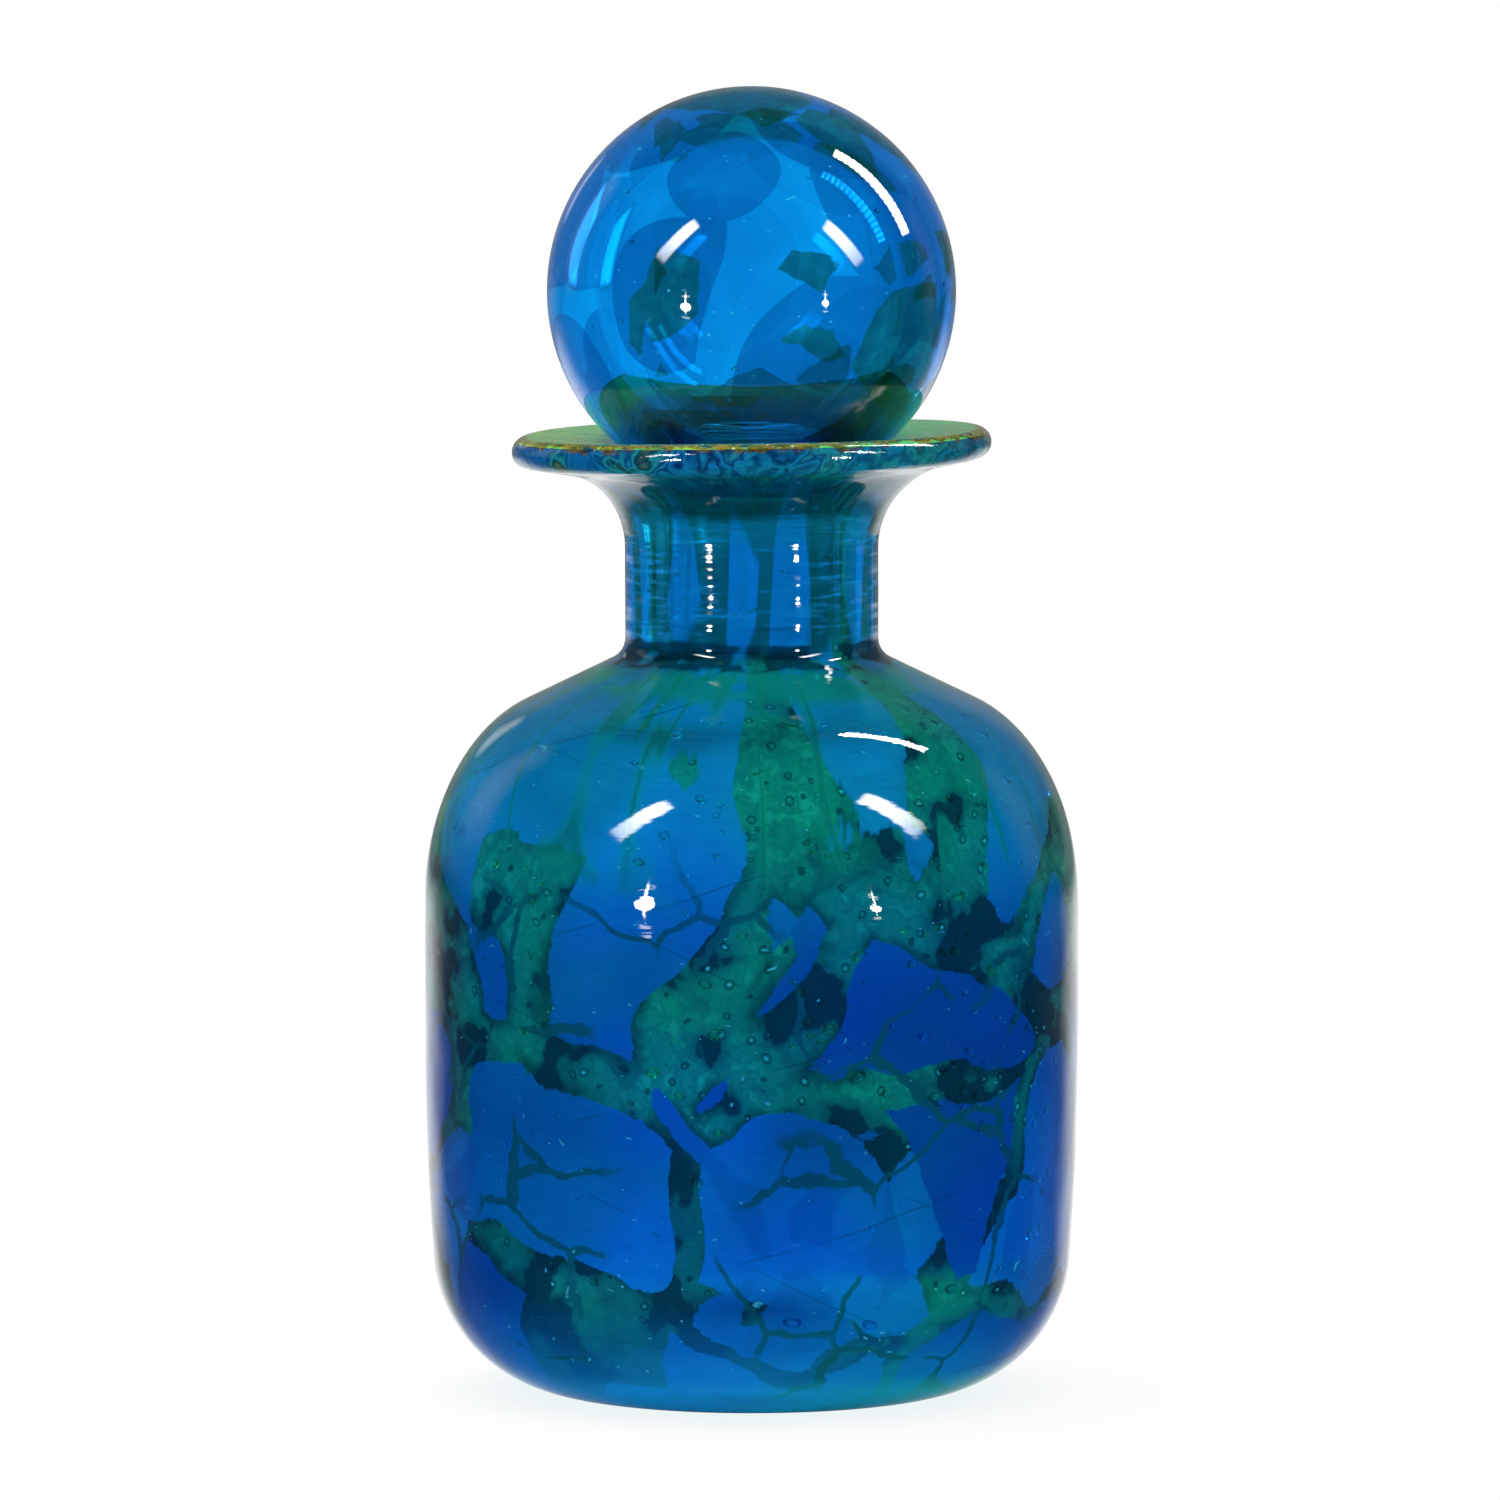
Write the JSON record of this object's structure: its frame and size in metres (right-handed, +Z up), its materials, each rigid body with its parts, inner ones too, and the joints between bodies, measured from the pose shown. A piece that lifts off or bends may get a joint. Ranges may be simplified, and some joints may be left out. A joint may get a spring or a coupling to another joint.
{
  "type": "stoppered glass bottle",
  "caption": "Round hand-blown glass bottle with a short neck, a wide flared lip and a hollow ball stopper on a ground stem that lifts out.",
  "frame": {"origin": "centre of the flat foot, on the surface that the bottle stands on", "axes": "+Z up along the axis that the bottle and its stopper are turned about; X and Y are level"},
  "size_m": [0.0814, 0.0814, 0.1627],
  "materials": {
    "blue_glass": "polished by the fire, blue patches over sea green",
    "green_glass": "polished by the fire, sea green with small bubbles",
    "lime_glass": "polished by the fire, lime and amber over blue",
    "scar_glass": "broken and lightly ground",
    "azure_glass": "polished by the fire, azure patches",
    "sea_green_glass": "polished by the fire, sea green",
    "ground_glass": "ground satin"
  },
  "bodies": {
    "bottle": {"vessel_casing": "blue_glass", "vessel_lining": "green_glass", "flared_lip": "lime_glass", "pontil_mark": "scar_glass"},
    "stopper": {"stopper_casing": "azure_glass", "stopper_lining": "sea_green_glass", "stopper_stem": "ground_glass"}
  },
  "joints": [
    {"name": "stopper_lift", "type": "slide", "parent": "bottle", "child": "stopper", "axis": [0, 0, 1], "range_m": [0, 0.04]}
  ]
}
